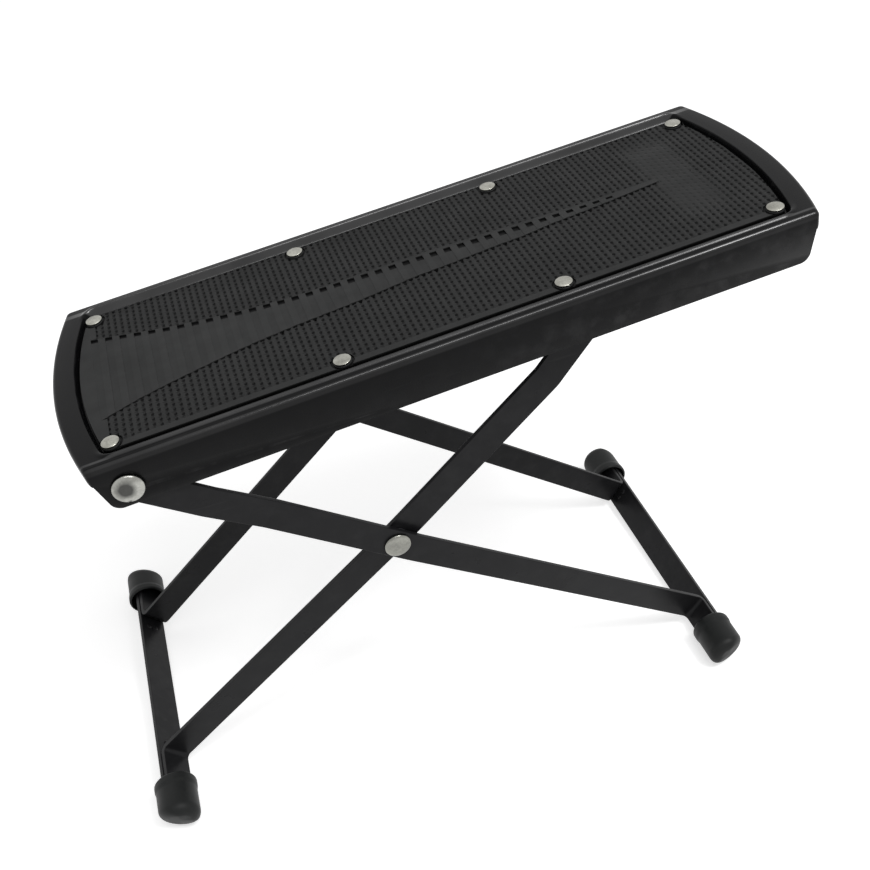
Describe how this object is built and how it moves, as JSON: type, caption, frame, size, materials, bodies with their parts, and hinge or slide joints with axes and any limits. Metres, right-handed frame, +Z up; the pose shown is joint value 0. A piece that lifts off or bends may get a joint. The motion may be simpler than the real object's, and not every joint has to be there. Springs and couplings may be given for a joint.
{
  "type": "guitar footrest",
  "caption": "Folding guitar footrest: pressed black steel platform with a rubber tread mat on a riveted scissor of flat steel arms with rubber boots.",
  "frame": {"origin": "on the floor plane, under the centre of the footrest's box at the pictured height", "axes": "+X along the platform towards its raised end, +Y across it away from the pictured side, +Z up"},
  "size_m": [0.3038, 0.1564, 0.2283],
  "materials": {
    "black_paint": "satin black stove enamel",
    "mat_rubber": "moulded matt black rubber with a fine stud pattern",
    "boot_rubber": "smooth dark grey moulded rubber",
    "bright_rivet": "bright nickel-plated rivet head",
    "zinc_steel": "zinc-plated steel"
  },
  "bodies": {
    "outer_frame": {"outer_arm_near": "black_paint", "outer_arm_far": "black_paint", "foot_bar_right": "black_paint", "boot_right_near": "boot_rubber", "boot_right_far": "boot_rubber", "crossing_rivet_near": "bright_rivet", "crossing_rivet_far": "bright_rivet", "crossing_washer_near": "zinc_steel", "crossing_washer_far": "zinc_steel"},
    "inner_frame": {"inner_arm_near": "black_paint", "inner_arm_far": "black_paint", "foot_bar_left": "black_paint", "boot_left_near": "boot_rubber", "boot_left_far": "boot_rubber", "cross_rod": "zinc_steel"},
    "platform": {"platform": "black_paint", "tread_mat": "mat_rubber", "mat_rivet_near_1": "bright_rivet", "mat_rivet_near_2": "bright_rivet", "mat_rivet_near_3": "bright_rivet", "mat_rivet_near_4": "bright_rivet", "mat_rivet_far_1": "bright_rivet", "mat_rivet_far_2": "bright_rivet", "mat_rivet_far_3": "bright_rivet", "mat_rivet_far_4": "bright_rivet", "pivot_rivet_near": "bright_rivet", "pivot_rivet_far": "bright_rivet", "height_rack_near": "zinc_steel", "height_rack_far": "zinc_steel"}
  },
  "joints": [
    {"name": "scissor_fold", "type": "hinge", "parent": "outer_frame", "child": "inner_frame", "pos_m": [-0.02946, 0, 0.11165], "axis": [0, 1, 0], "range_deg": [0, 76.7]},
    {"name": "platform_tilt", "type": "hinge", "parent": "outer_frame", "child": "platform", "pos_m": [-0.12393, 0, 0.1767], "axis": [0, 1, 0], "range_deg": [0, 42]}
  ],
  "couplings": [
    {"joint": "platform_tilt", "follows": "scissor_fold", "ratio": 0.54704}
  ]
}
